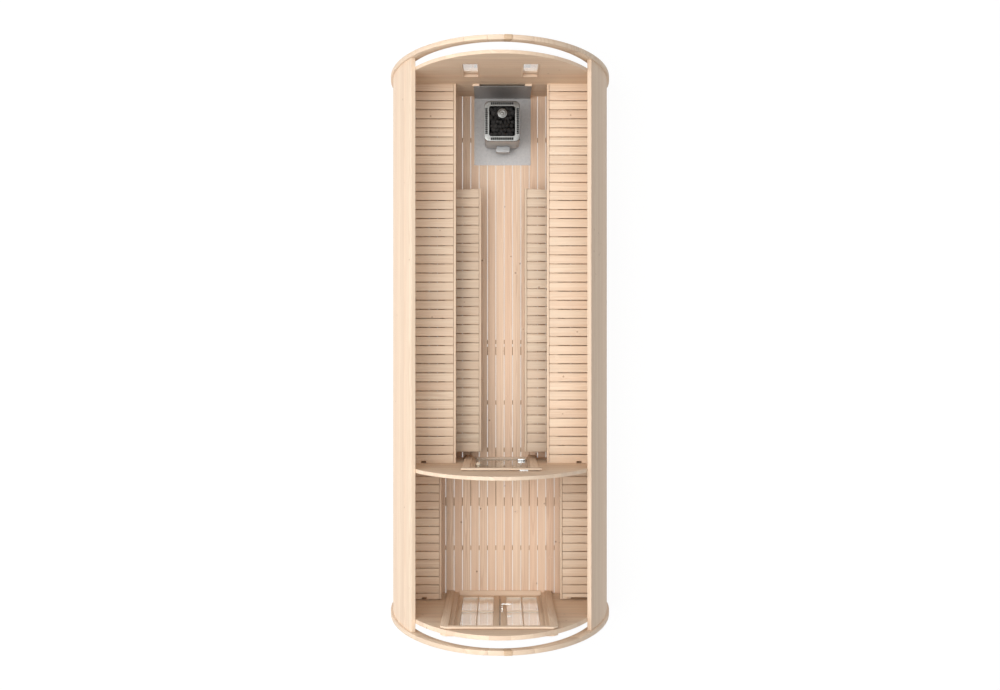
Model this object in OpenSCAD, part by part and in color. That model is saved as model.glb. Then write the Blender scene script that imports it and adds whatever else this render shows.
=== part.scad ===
// Arched timber sauna pod with two rooms, shown with its roof crown off.
// X is across the pod, +Y runs to the heater end, Z is up from the ground.

/* [Pod] */
// Length over the two end hoops
pod_len = 5900; // [5600:10:6400]
// Width over the end hoops
pod_w = 2426; // [2380:2:2600]
// Height of the hoop crown above the ground
pod_h = 2500; // [2480:5:2600]
// Height at which the arch is widest
spring_h = 44; // [30:2:60]

/* [Shell] */
// Thickness of the wall boards
wall_t = 44; // [38:1:50]
// Covering width of one wall board
stave_w = 88; // [84:0.5:90]
// Height of the lowest board edge above the ground
wall_foot = 5; // [2:1:12]
// Boards left standing on the right side
right_staves = 18; // [14:1:19]
// Boards left standing on the left side
left_staves = 19; // [14:1:19]
// Board at which a side wall divides into lower and upper part
split_stave = 9; // [7:1:11]
// How far a hoop stands proud of the wall boards
hoop_lip = 25; // [15:1:35]
// Depth of a hoop, measured inwards
hoop_d = 120; // [90:5:140]
// Thickness of a hoop along the pod
hoop_t = 46; // [36:1:60]
// Sideways place of the left joint in the hoop crown
crown_left = -122; // [-200:2:-80]
// Sideways place of the right joint in the hoop crown
crown_right = 330; // [240:2:400]
// Sideways place of the cover block on the crown
cover_x = 80; // [40:2:120]
// Width of the cover block
cover_w = 75; // [50:5:100]
// Height of the cover block above the hoop
cover_t = 12; // [6:1:20]

/* [Floor] */
// Height of the floor surface above the ground
floor_h = 130; // [120:2:160]
// Thickness of the floor boards
floor_t = 28; // [22:1:34]
// Width of one floor board
floor_w = 88.4; // [84:0.2:90]
// Open joint between floor boards
floor_gap = 5; // [3:0.5:8]
// Depth of the cross joists
joist_d = 45; // [35:1:55]
// Width of a cross joist
joist_w = 47; // [38:1:60]
// Distance of the outermost joists from the hoops
joist_end = 44; // [30:1:80]
// Width of a ground bearer
bearer_w = 72; // [60:2:84]
// Distance of the outer ground bearers from the middle
bearer_x = 860; // [760:10:940]

/* [End walls] */
// Inner face of the rear wall from the rear end of the pod
rear_set = 167; // [150:1:210]
// Inner face of the front wall from the front end of the pod
front_set = 174; // [150:1:200]
// Sauna face of the partition from the middle of the pod
part_in = 1258; // [1000:2:1600]
// Thickness of the partition
part_t = 41; // [36:1:50]

/* [Rear windows] */
// Middle of the left window
win_left = -300; // [-360:2:-260]
// Middle of the right window
win_right = 311; // [260:1:360]
// Width of the window opening
win_w = 188; // [160:2:220]
// Height of the window opening
win_h = 655; // [500:5:720]
// Height of the sill above the floor
win_sill = 1130; // [1050:5:1200]
// Width of the window frame's side rails
win_rail = 20; // [16:1:26]
// Height of the window frame's bottom rail
win_foot = 100; // [40:5:130]
// How far the window frame is set back from the room
win_back = 26; // [20:1:34]

/* [Front door] */
// Half the clear width between the jambs
door_half = 457; // [430:1:480]
// Distance of the leaf tops below the hoop crown
door_drop = 435; // [430:5:520]
// Thickness of the leaves
leaf_t = 40; // [34:1:46]
// Inner face of the leaves behind the inner face of the wall
leaf_back = 24; // [20:1:32]
// Width of a hinge stile
hinge_stile = 44; // [40:1:60]
// Width of a meeting stile
meet_stile = 64; // [56:1:70]
// Height of the bottom rail
bottom_rail = 82; // [70:2:120]
// Height of the top rail
top_rail = 75; // [60:5:100]
// Width of a glazing bar
bar_w = 20; // [16:1:26]
// Height of the door sill above the floor
sill_h = 25; // [18:1:28]
// Width of the stop bead that a leaf meets
stop_w = 10; // [8:1:20]
// Thickness of the stop bead
stop_d = 6; // [5:1:14]
// Width of a casing board
casing_w = 80; // [70:1:95]
// Distance from the middle of the doorway to a casing's inner edge
casing_in = 499; // [490:1:505]
// How far the casings sit to the left of the doorway's middle
casing_left = 8; // [0:1:8]
// Thickness of a casing board
casing_t = 20; // [16:1:24]
// Height of the head casing's top above the leaf tops
casing_rise = 80; // [70:5:90]
// Height over which the ends of the head casing slope with the arch
casing_slope = 50; // [30:5:60]
// Clearance between the head casing and the side walls
casing_clear = 14; // [8:1:24]
// Open joint between a room casing and the wall boards
casing_off = 9; // [4:1:12]
// Height of the door lever above the floor
lever_h = 820; // [800:10:1050]
// Distance of the lever's neck from the meeting line of the leaves
lever_x = 23; // [23:1:40]
// Distance of the lever from the face of the leaf
lever_out = 52; // [40:1:52]

/* [Inner door] */
// Sideways place of the middle of the inner door
inner_x = 3; // [0:1:20]
// Half the clear width between the inner jambs
inner_half = 294; // [280:1:340]
// Height of the glass top above the floor
inner_top = 1600; // [1500:5:1700]
// Thickness of the door glass
glass_t = 8; // [6:1:12]
// Width of the casing boards of the inner door
inner_casing_w = 80; // [70:1:90]
// Top of the inner head casing above the floor
inner_casing_top = 1700; // [1690:5:1760]
// Width of the stop on the hinge side
stop_right = 8; // [6:1:12]
// Width of the stop on the knob side
stop_left = 30; // [20:1:34]
// Front room face of the glass from the middle of the pod
pane_at = 1281; // [1000:1:1640]
// Height of the ball knob above the floor
knob_h = 1090; // [900:10:1100]
// Diameter of the ball knob
knob_d = 50; // [40:1:60]

/* [Benches] */
// Thickness of the bench slats and bench bearers
slat_t = 28; // [22:1:32]
// Thickness of the bench fascia
fascia_t = 23; // [18:1:28]
// Height of the bench fascia
fascia_h = 90; // [70:2:110]
// Width of a bench bearer
bench_bearer = 86; // [70:1:95]
// Top of the upper benches above the floor
upper_h = 760; // [700:5:850]
// Inner edge of the left upper bench
upper_left = 470; // [440:2:520]
// Inner edge of the right upper bench
upper_right = 500; // [460:2:540]
// Clearance between a bench and the side wall
bench_clear = 20; // [12:1:60]
// Distance of the notch at the partition from the outer edge of an upper bench
upper_notch = 208; // [150:2:260]
// Step from one upper slat to the next
upper_step = 96.6; // [94:0.2:100]
// Top of the lower benches above the floor
lower_h = 400; // [360:5:450]
// Inner edge of the left lower bench
lower_left = 205; // [180:1:260]
// Inner edge of the right lower bench
lower_right = 270; // [240:1:300]
// Width of the lower benches
lower_w = 415; // [380:5:440]
// Step from one lower slat to the next
lower_step = 98.6; // [96:0.2:102]
// Number of slats in a lower bench
lower_slats = 29; // [24:1:30]
// Distance of the lower benches from the partition
lower_gap = 95; // [60:1:120]
// Top of the front room benches above the floor
front_h = 450; // [400:5:480]
// Inner edge of the left front room bench
front_left = 637; // [600:1:680]
// Inner edge of the right front room bench
front_right = 653; // [600:1:680]
// Distance of the notch at the front wall from the outer edge of a front room bench
front_notch = 257; // [200:1:300]
// Step from one front room slat to the next
front_step = 90.9; // [88:0.1:94]
// Open joint between bench slats
slat_gap = 9; // [5:0.5:10]

/* [Heater] */
// Sideways place of the middle of the heater
heater_x = 23; // [0:1:40]
// Width over the heater top
heater_w = 382; // [340:2:400]
// Depth over the heater top
heater_d = 430; // [400:2:440]
// Height of the heater top above the floor
heater_h = 650; // [600:5:700]
// Distance of the heater top from the rear wall
heater_gap = 166; // [150:1:190]
// Distance of each shield batten from the middle line between them
batten_x = 280.5; // [230:0.5:290]
// Corner radius of the heater top
heater_r = 52; // [40:1:60]
// Width of the stone well
well_w = 280; // [260:2:290]
// Depth of the stone well
well_d = 324; // [300:2:330]
// Width of the wall shield
shield_w = 620; // [560:5:640]
// Top of the wall shield above the floor
shield_h = 750; // [700:5:800]
// Thickness of the shield sheets
sheet_t = 3; // [2:0.5:5]
// Width of a shield batten
batten_w = 73; // [50:1:80]
// Distance of the wall shield from the rear wall
shield_gap = 23; // [18:1:30]
// Distance of the floor plate's front edge from the rear wall
plate_d = 771; // [700:1:790]

/* [Hidden] */
gap = 0.3;
fit = 1.5;
half = pod_len / 2;
hoop_in = half - hoop_t;
ah = pod_w / 2;
bh = pod_h - spring_h;
aw = ah - hoop_lip;
bw = bh - hoop_lip;
deg = 180 / PI;
far = 3 * pod_h;
rear_in = half - rear_set;
front_in = half - front_set;
zf = floor_h;
hoop_steps = 26;
end_steps = 72;

function on(a, b, t) = [a * cos(t), spring_h + b * sin(t)];
function out(a, b, t) = let (v = [cos(t) / a, sin(t) / b]) v / norm(v);
function at(a, b, t, d) = on(a, b, t) - d * out(a, b, t);
function rate(a, b, t) = sqrt(pow(a * sin(t), 2) + pow(b * cos(t), 2)) / deg;
function inside(z) = (aw - wall_t) * sqrt(1 - pow((z - spring_h) / (bw - wall_t), 2));
function next(t) = t + stave_w / rate(aw, bw, t + stave_w / rate(aw, bw, t) / 2);
foot_a = asin((wall_foot - spring_h) / bw);
stave_a = [for (i = 0, t = foot_a; i <= max(left_staves, right_staves); i = i + 1, t = next(t)) t];

// Angles of the joints in a hoop
hoop_a0 = asin(-spring_h / bh);
hoop_a1 = acos(crown_right / ah);
hoop_a2 = acos(crown_left / ah);
cover_a0 = acos((cover_x + cover_w / 2) / ah);
cover_a1 = acos((cover_x - cover_w / 2) / ah);

// Cross joists: two at the ends, eight measured from the front wall, one from the rear wall
joist_front = [499, 994, 1039, 1600, 2131, 2686, 2733, 2810];
joist_rear = 483;
trimmer_at = [-3.5, -0.5, 3.5];
joist_y = concat([-hoop_in + joist_end], [for (d = joist_front) d - front_in],
    [rear_in - joist_rear, hoop_in - joist_end]);

// Front door heights and depths
leaf_y = -front_in - leaf_back;
leaf_out = leaf_y - leaf_t;
leaf_z0 = zf + sill_h + 6;
leaf_z1 = pod_h - door_drop;
leaf_edge = door_half - 5;
meet = 4;
jamb_t = 58;
jamb_out = -leaf_out;
rough = door_half + jamb_t + gap;
head_z0 = leaf_z1 + 5;
head_z1 = head_z0 + 42;
casing_z = leaf_z1 + casing_rise;
room_y = -front_in + casing_off;

// Hinges: a pin with two fixed knuckles, and a moving knuckle that runs on the pin
pin_r = 3;
run = 0.05;
knuckle_r = 6;
hinge_x = door_half;
hinge_y = leaf_out - knuckle_r - 0.4;
hinge_len = 90;
flap_t = 2.5;
flap_w = 32;
leaf_hinge_z = [leaf_z0 + 170, (leaf_z0 + leaf_z1) / 2, leaf_z1 - 170];

// Inner door
pane_y = -pane_at + glass_t / 2;
part_out = -part_in - part_t;
sauna_y = -part_in + casing_off;
inner_rough = inner_half + 40 + gap;
inner_z0 = zf + sill_h + 6;
inner_z1 = zf + inner_top;
inner_head = inner_z1 + 6;
inner_casing_in = inner_half + 13.5;
inner_casing_z = zf + inner_casing_top;
stop_t = 8;
stop_play = 5;
head_casing = 404;
head_shift = 9.5;
pane_edge = 6;
clamp_w = 80;
clamp_h = 60;
clamp_t = 18;
clamp_x = inner_x + inner_half - 100;
clip_x = inner_x + inner_half - 97;
pin_x = inner_x + inner_half - 10;
pin_y = part_out - knuckle_r - 1;
hinge_low = 240;
hinge_high = 200;
inner_hinge_z = [inner_z0 + hinge_low, inner_z1 - hinge_high];

// Benches
bench_y0 = -part_in + gap;
bench_y1 = rear_in - gap;
front_y0 = -front_in + 11;
front_y1 = part_out - 25;
notch = [54, 22];
upper_out = inside(zf + upper_h) - bench_clear;
front_out = inside(zf + front_h) - bench_clear;
lower_y0 = lower_gap - part_in;
lower_y1 = lower_y0 + lower_slats * lower_step + 12;
support_y = [lower_y0 + 63, (lower_y0 + lower_y1) / 2, lower_y1 - 88];
support_end = rear_in - 133;
support_front = [116 - front_in, part_out - 131];

module side_wall(i0, i1, first) {
    s = first ? 0 : gap / rate(aw, bw, stave_a[i0]);
    a = [for (i = [i0:i1]) stave_a[i] + (i == i0 ? s : 0)];
    n = len(a) - 1;
    rotate([90, 0, 0]) linear_extrude(2 * (hoop_in - gap), center = true)
        polygon(concat([for (i = [0:n]) at(aw, bw, a[i], 0)], [for (i = [n:-1:0]) at(aw, bw, a[i], wall_t)]));
}

module left_lower_wall() {
    color("BurlyWood") mirror([1, 0, 0]) side_wall(0, split_stave, true);
}

module left_upper_wall() {
    color("Tan") mirror([1, 0, 0]) side_wall(split_stave, left_staves, false);
}

module right_lower_wall() {
    color("BurlyWood") side_wall(0, split_stave, true);
}

module right_upper_wall() {
    color("Tan") side_wall(split_stave, right_staves, false);
}

module hoop_arc(a0, a1, d0, d1, n) {
    s = (a1 - a0) / n;
    linear_extrude(hoop_t) polygon(concat(
        [for (i = [0:n]) at(ah, bh, a0 + i * s, d0)],
        [for (i = [n:-1:0]) at(ah, bh, a0 + i * s, d1)]));
}

// A hoop lies against the board ends: side 1 is the rear, -1 the front
module hoop(a0, a1, side, n = hoop_steps) {
    s = gap / rate(ah, bh, a0);
    translate([0, side > 0 ? half : -hoop_in, 0]) rotate([90, 0, 0]) hoop_arc(a0 + s, a1, 0, hoop_d, n);
}

module rear_left_hoop() {
    color("Wheat") hoop(hoop_a2, 180 - hoop_a0, 1);
}

module rear_right_hoop() {
    color("Wheat") hoop(hoop_a0, hoop_a1, 1);
}

module front_left_hoop() {
    color("Wheat") hoop(hoop_a2, 180 - hoop_a0, -1);
}

module front_right_hoop() {
    color("Wheat") hoop(hoop_a0, hoop_a1, -1);
}

module hoop_crowns() {
    color("Wheat") for (s = [-1, 1]) hoop(hoop_a1, hoop_a2, s, 12);
}

module cover_blocks() {
    color("Tan") for (s = [-1, 1]) translate([0, s > 0 ? half : -hoop_in, 0]) rotate([90, 0, 0])
        hoop_arc(cover_a0, cover_a1, -cover_t - gap, -gap, 4);
}

module ground_bearers() {
    color("DarkKhaki") for (x = [-bearer_x, 0, bearer_x])
        translate([x - bearer_w / 2, -hoop_in + gap, 0])
            cube([bearer_w, 2 * (hoop_in - gap), floor_h - floor_t - joist_d - gap]);
}

module floor_boards() {
    step = floor_w + floor_gap;
    inner = aw - wall_t - 6;
    floor_side = floor((inner - floor_w / 2 - floor_gap - 20) / step);
    edge = inner - (floor_side * step + floor_w / 2 + floor_gap);
    color("BlanchedAlmond") {
        for (i = [-floor_side:floor_side]) translate([i * step - floor_w / 2, -hoop_in + gap, zf - floor_t])
            cube([floor_w, 2 * (hoop_in - gap), floor_t]);
        for (s = [-1, 1]) translate([s > 0 ? inner - edge : -inner, -hoop_in + gap, zf - floor_t])
            cube([edge, 2 * (hoop_in - gap), floor_t]);
        for (y = joist_y) translate([-inner, y - joist_w / 2, zf - floor_t - joist_d])
            cube([2 * inner, joist_w, joist_d]);
        for (i = trimmer_at) translate([i * step - joist_w / 2, joist_y[3], zf - floor_t - joist_d])
            cube([joist_w, joist_y[4] - joist_y[3], joist_d]);
    }
}

// The end walls and the partition fill the arch inside the wall boards
end_a = asin((zf + gap + 1 - spring_h) / bw);

module arch_plate(y, t = wall_t) {
    s = (180 - 2 * end_a) / end_steps;
    translate([0, y + t, 0]) rotate([90, 0, 0]) linear_extrude(t)
        polygon([for (i = [0:end_steps]) at(aw, bw, end_a + i * s, wall_t + fit)]);
}

// What stands at an end wall stays inside the arch
module within_arch() {
    intersection() {
        children();
        rotate([90, 0, 0]) linear_extrude(pod_len, center = true)
            polygon([for (i = [0:end_steps]) at(aw, bw, i * 180 / end_steps, wall_t + fit)]);
    }
}

module block(x0, x1, y0, y1, z0, z1) {
    translate([x0, y0, z0]) cube([x1 - x0, y1 - y0, z1 - z0]);
}

module rear_wall() {
    z0 = zf + win_sill;
    color("BurlyWood") difference() {
        arch_plate(rear_in);
        for (x = [win_left, win_right])
            block(x - win_w / 2, x + win_w / 2, rear_in - 10, rear_in + wall_t + 10, z0, z0 + win_h);
    }
}

// Two stiles reach the room face; the rails and the glass between them are set back
module rear_window_frames() {
    z0 = zf + win_sill + gap;
    z1 = zf + win_sill + win_h - gap;
    y0 = rear_in + win_back;
    color("Wheat") for (x = [win_left, win_right]) difference() {
        block(x - win_w / 2 + gap, x + win_w / 2 - gap, rear_in + gap, rear_in + wall_t + 15, z0, z1);
        block(x - win_w / 2 + win_rail, x + win_w / 2 - win_rail, rear_in - gap, y0, z0 - gap, z1 + gap);
        block(x - win_w / 2 + win_rail, x + win_w / 2 - win_rail, y0 - 5, rear_in + wall_t + 20,
            z0 + win_foot, z1 - 3 * win_rail);
    }
}

module rear_window_glass() {
    z0 = zf + win_sill + win_foot + 2 * gap;
    z1 = zf + win_sill + win_h - 3 * win_rail - 2 * gap;
    y0 = rear_in + win_back + 21;
    color("LightCyan", 0.4) for (x = [win_left, win_right])
        block(x - win_w / 2 + win_rail + gap, x + win_w / 2 - win_rail - gap, y0, y0 + 6, z0, z1);
}

module front_wall_sides() {
    color("BurlyWood") difference() {
        arch_plate(-front_in - wall_t);
        block(-rough, rough, -front_in - wall_t - 10, -front_in + 10, 0, far);
    }
}

module front_wall_head() {
    color("BurlyWood") intersection() {
        arch_plate(-front_in - wall_t);
        block(-rough + gap, rough - gap, -front_in - wall_t - 10, -front_in + 10, head_z1 + gap, far);
    }
}

module partition_sides() {
    color("BurlyWood") difference() {
        arch_plate(part_out, part_t);
        block(inner_x - inner_rough, inner_x + inner_rough, part_out - 10, -part_in + 10, 0, far);
    }
}

module partition_head() {
    color("BurlyWood") intersection() {
        arch_plate(part_out, part_t);
        block(inner_x - inner_rough + gap, inner_x + inner_rough - gap,
            part_out - 10, -part_in + 10, inner_head + 40 + gap, far);
    }
}

// Jamb: a post in the wall, a stop that the leaf meets, and a casing on each face of the wall
module front_door_jambs() {
    z = head_z0 - gap;
    color("Wheat") within_arch() for (m = [0, 1]) mirror([m, 0, 0]) {
        block(door_half, rough - gap, -jamb_out, room_y, zf + gap, z);
        block(door_half - stop_w, door_half, leaf_y + 6, leaf_y + 6 + stop_d, zf + sill_h + gap, z - stop_w);
        x = casing_in + (m == 0 ? -casing_left : casing_left);
        for (y = [[room_y, room_y + casing_t], [-jamb_out, -front_in - wall_t - gap]])
            block(x, x + casing_w, y[0], y[1], zf + gap, z);
    }
}

module front_door_head() {
    w = casing_in + casing_w;
    z = casing_z - casing_slope;
    w1 = min(w, inside(z) - casing_clear);
    w2 = min(w, inside(casing_z) - casing_clear);
    outline = [[-w, head_z0], [w, head_z0], [w1, z], [w2, casing_z], [-w2, casing_z], [-w1, z]];
    color("Wheat") within_arch() {
        block(-rough + 2 * gap, rough - 2 * gap, -jamb_out, room_y, head_z0, head_z1);
        block(-door_half, door_half, leaf_y + 6, leaf_y + 6 + stop_d, head_z0 - stop_w, head_z0);
        for (y = [[room_y, room_y + casing_t], [-jamb_out, -front_in - wall_t - gap]])
            translate([-casing_left, y[1], 0]) rotate([90, 0, 0]) linear_extrude(y[1] - y[0]) polygon(outline);
    }
}

module front_door_sill() {
    w = door_half - gap;
    color("Wheat") block(-w, w, -jamb_out, room_y + casing_t, zf + gap, zf + sill_h);
}

module leaf_frame() {
    x0 = meet;
    x1 = leaf_edge;
    xm = (x0 + meet_stile + x1 - hinge_stile) / 2;
    z0 = leaf_z0 + bottom_rail;
    z1 = leaf_z1 - top_rail;
    zm = (z0 + z1) / 2;
    difference() {
        block(x0, x1, leaf_out, leaf_y, leaf_z0, leaf_z1);
        block(x0 + meet_stile, x1 - hinge_stile, leaf_out - 5, leaf_y + 5, z0, z1);
    }
    for (y = [leaf_y - 12, leaf_out]) {
        block(xm - bar_w / 2, xm + bar_w / 2, y, y + 12, z0, z1);
        block(x0 + meet_stile, x1 - hinge_stile, y, y + 12, zm - bar_w / 2, zm + bar_w / 2);
    }
}

module left_leaf() {
    color("Tan") mirror([1, 0, 0]) leaf_frame();
}

module right_leaf() {
    color("Tan") leaf_frame();
}

module leaf_pane() {
    block(meet + meet_stile + gap, leaf_edge - hinge_stile - gap, leaf_out + 12 + gap, leaf_y - 12 - gap,
        leaf_z0 + bottom_rail + gap, leaf_z1 - top_rail - gap);
}

module left_leaf_glass() {
    color("LightCyan", 0.4) mirror([1, 0, 0]) leaf_pane();
}

module right_leaf_glass() {
    color("LightCyan", 0.4) leaf_pane();
}

// Fixed half of a hinge: pin and end knuckles around the Z axis
module hinge_pin(h) {
    cylinder(r = pin_r, h = h, $fn = 32);
    for (z = [0, h * 2 / 3 + 0.5]) translate([0, 0, z]) cylinder(r = knuckle_r, h = h / 3 - 0.5, $fn = 32);
}

// Moving half of a hinge at a leaf: the middle knuckle and a flap on the outer face
module leaf_hinge_set() {
    y = leaf_out - gap;
    for (z = leaf_hinge_z) translate([0, 0, z - hinge_len / 2]) difference() {
        union() {
            translate([hinge_x, hinge_y, hinge_len / 3]) cylinder(r = knuckle_r, h = hinge_len / 3, $fn = 32);
            block(hinge_x - knuckle_r - 0.5, hinge_x, y - flap_t, y, hinge_len / 3, hinge_len * 2 / 3);
            block(hinge_x - knuckle_r - 0.5 - flap_w, hinge_x - knuckle_r - 0.5, y - flap_t, y, 0, hinge_len);
        }
        translate([hinge_x, hinge_y, -1]) cylinder(r = pin_r + run, h = hinge_len + 2, $fn = 32);
    }
}

// Fixed halves of all the hinges, and a clip that ties the inner head casing to the partition
module frame_hinges() {
    y = -jamb_out - gap;
    yi = part_out - gap;
    color("Silver") {
        for (m = [0, 1], z = leaf_hinge_z) mirror([m, 0, 0]) translate([0, 0, z - hinge_len / 2]) {
            translate([hinge_x, hinge_y, 0]) hinge_pin(hinge_len);
            block(hinge_x + knuckle_r + 0.5, hinge_x + flap_w, y - flap_t, y, 0, hinge_len);
            for (k = [0, hinge_len * 2 / 3 + 0.5])
                block(hinge_x, hinge_x + knuckle_r + 0.5, y - flap_t, y, k, k + hinge_len / 3 - 0.5);
        }
        for (z = inner_hinge_z) translate([0, 0, z - clamp_h / 2]) {
            translate([pin_x, pin_y, 0]) hinge_pin(clamp_h);
            for (k = [0, clamp_h * 2 / 3 + 0.5])
                block(pin_x, pin_x + 21, yi - flap_t, yi, k, k + clamp_h / 3 - 0.5);
            block(pin_x + knuckle_r + 1, pin_x + 21, yi - flap_t, yi, 0, clamp_h);
        }
        block(clip_x, clip_x + clamp_w, -part_in + gap, sauna_y - gap,
            inner_casing_z - 12, inner_casing_z + 3);
    }
}

module left_leaf_hinges() {
    color("Silver") mirror([1, 0, 0]) leaf_hinge_set();
}

module right_leaf_hinges() {
    color("Silver") leaf_hinge_set();
}

// Lever, neck and back plate on each face of the right leaf
module door_handle() {
    x = lever_x;
    z = zf + lever_h;
    color("Silver") for (s = [0, 1]) {
        y = s == 0 ? leaf_y + gap : leaf_out - gap;
        d = s == 0 ? 1 : -1;
        block(x - 12, x + 12, min(y, y + d * 8), max(y, y + d * 8), z - 80, z + 180);
        translate([x, y, z]) rotate([-90 * d, 0, 0]) cylinder(r = 8, h = lever_out + 6, $fn = 24);
        translate([x - 9, y + d * lever_out, z]) rotate([0, 90, 0]) cylinder(r = 9, h = 109, $fn = 24);
    }
}

module inner_door_jambs() {
    y1 = pane_y + glass_t / 2 + stop_play;
    z1 = inner_head - gap;
    color("Wheat") translate([inner_x, 0, 0]) for (m = [0, 1]) mirror([m, 0, 0]) {
        block(inner_half, inner_rough - gap, part_out, sauna_y, zf + gap, z1);
        block(inner_half - (m == 0 ? stop_right : stop_left), inner_half, y1, y1 + stop_t,
            zf + sill_h + gap, z1 - stop_w);
        for (y = [sauna_y, part_out - casing_t])
            block(inner_casing_in, inner_casing_in + inner_casing_w, y, y + casing_t,
                zf + gap, inner_casing_z - inner_casing_w - gap);
    }
}

module inner_door_head() {
    y1 = pane_y + glass_t / 2 + stop_play;
    color("Wheat") translate([inner_x, 0, 0]) {
        block(-inner_rough + 2 * gap, inner_rough - 2 * gap, part_out, sauna_y, inner_head, inner_head + 40);
        block(-inner_half, inner_half, y1, y1 + stop_t, inner_head - stop_w, inner_head);
        for (y = [sauna_y, part_out - casing_t])
            block(head_shift - head_casing, head_shift + head_casing, y, y + casing_t,
                inner_casing_z - inner_casing_w, inner_casing_z);
    }
}

module inner_door_sill() {
    color("Wheat") translate([inner_x, 0, 0])
        block(-inner_half + gap, inner_half - gap, part_out, -part_in + 5, zf + gap, zf + sill_h);
}

module inner_glass_door() {
    w = inner_half - pane_edge;
    color("LightCyan", 0.4) translate([inner_x, 0, 0])
        block(-w, w, pane_y - glass_t / 2, pane_y + glass_t / 2, inner_z0, inner_z1);
}

// Clamp blocks on both faces of the glass, the front room one with the moving knuckle
module inner_door_hinges() {
    x0 = clamp_x;
    y0 = pane_y - glass_t / 2 - gap;
    y1 = pane_y + glass_t / 2 + gap;
    color("Silver") for (z = inner_hinge_z) translate([0, 0, z - clamp_h / 2]) difference() {
        union() {
            block(x0, x0 + clamp_w, y1, y1 + clamp_t, 0, clamp_h);
            block(x0, x0 + clamp_w, y0 - clamp_t, y0, 0, clamp_h);
            translate([pin_x, pin_y, clamp_h / 3]) cylinder(r = knuckle_r, h = clamp_h / 3, $fn = 32);
            block(x0 + clamp_w - 20, pin_x, pin_y - 5, y0 - clamp_t + 4, clamp_h / 3, clamp_h * 2 / 3);
        }
        translate([pin_x, pin_y, -1]) cylinder(r = pin_r + run, h = clamp_h + 2, $fn = 32);
    }
}

module inner_door_knob() {
    x = inner_x - inner_half + 64;
    color("Peru") for (d = [-1, 1]) {
        translate([x, pane_y + d * 32, zf + knob_h]) sphere(d = knob_d, $fn = 48);
        translate([x, pane_y + d * (glass_t / 2 + gap), zf + knob_h]) rotate([-90 * d, 0, 0])
            cylinder(r = 10, h = 20, $fn = 24);
    }
}

// Slats across, a fascia at the open edge, and bearers below that carry both
module bench(x0, x1, y0, y1, top, first, step, gap_w, bearers) {
    n = floor((y1 - y0 - first) / step + 0.999);
    block(x0, x0 + fascia_t, y0, y1, top - fascia_h, top);
    for (i = [0:n]) {
        a = i == 0 ? y0 : y0 + first + gap_w + (i - 1) * step;
        b = i == 0 ? y0 + first : min(a + step - gap_w, y1);
        if (b - a > 12) block(x0 + fascia_t + 3, x1, a, b, top - slat_t, top);
    }
    for (x = bearers) block(x, x + bench_bearer, y0, y1, top - 2 * slat_t, top - slat_t);
    block(x0 + fascia_t / 2, x0 + fascia_t + 10, y0, y1, top - 2 * slat_t, top - slat_t);
}

module upper_benches() {
    w = upper_step - slat_gap;
    xn = upper_out - upper_notch;
    color("Wheat") for (m = [0, 1]) {
        x0 = m == 0 ? upper_right : upper_left;
        difference() {
            mirror([m, 0, 0]) bench(x0, upper_out, bench_y0, bench_y1, zf + upper_h, w, upper_step, slat_gap,
                [x0 + fascia_t, upper_out - bench_bearer]);
            mirror([m, 0, 0]) block(xn - notch[0] / 2, xn + notch[0] / 2, bench_y0 - 1, bench_y0 + notch[1],
                zf + upper_h - slat_t - 1, zf + upper_h + 1);
        }
    }
}

module lower_benches() {
    w = lower_step - slat_gap;
    color("Wheat") for (m = [0, 1]) {
        x0 = m == 0 ? lower_right : lower_left;
        mirror([m, 0, 0]) bench(x0, x0 + lower_w, lower_y0, lower_y1, zf + lower_h, w + 9.5, lower_step,
            slat_gap, [x0 + fascia_t, x0 + lower_w - bench_bearer]);
    }
}

module front_benches() {
    xn = front_out - front_notch;
    color("Wheat") for (m = [0, 1]) {
        x0 = m == 0 ? front_right : front_left;
        difference() {
            mirror([m, 0, 0]) bench(x0, front_out, front_y0, front_y1, zf + front_h, 62, front_step, slat_gap,
                [x0 + fascia_t, front_out - bench_bearer]);
            mirror([m, 0, 0]) block(xn - notch[0] / 2, xn + notch[0] / 2, front_y0 - 1, front_y0 + notch[1],
                zf + front_h - slat_t - 1, zf + front_h + 1);
        }
    }
}

// Post and leg frames that stand on the floor under the benches
module bench_supports() {
    p = 45;
    zu = zf + upper_h - 2 * slat_t - gap;
    zl = zf + lower_h - 2 * slat_t - gap;
    zr = zf + front_h - 2 * slat_t - gap;
    z0 = zf + gap;
    color("BurlyWood") for (m = [0, 1]) mirror([m, 0, 0]) {
        x0 = (m == 0 ? lower_right : lower_left) + fascia_t + 12;
        x1 = (m == 0 ? lower_right : lower_left) + lower_w + 5;
        xf = (m == 0 ? front_right : front_left) + fascia_t + 12;
        for (y = support_y) {
            block(x1, x1 + p, y, y + p, z0, zu);
            block(x0 + p + gap, x1 - gap, y, y + p, zl - p, zl);
            block(x0, x0 + p, y, y + p, z0, zl);
            block(x1 + p + gap, upper_out - 10, y, y + p, zu - p, zu);
        }
        block(x1, x1 + p, support_end, support_end + p, z0, zu);
        block(x1 + p + gap, upper_out - 10, support_end, support_end + p, zu - p, zu);
        for (y = support_front) {
            block(xf, xf + p, y, y + p, z0, zr);
            block(xf + p + gap, front_out - 10, y, y + p, zr - p, zr);
        }
    }
}

module round_box(w, d, r, h) {
    linear_extrude(h) union() {
        square([w - 2 * r, d], center = true);
        square([w, d - 2 * r], center = true);
        for (x = [-1, 1], y = [-1, 1]) translate([x * (w / 2 - r), y * (d / 2 - r)]) circle(r = r, $fn = 48);
    }
}

heater_back = rear_in - heater_gap;
heater_y = heater_back - heater_d / 2;
cab_z = zf + sheet_t + 60;
top_t = 35;
cab_top = zf + heater_h - top_t;
well_h = 150;
well_r = 24;
stones_z = zf + heater_h - 12;

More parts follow.
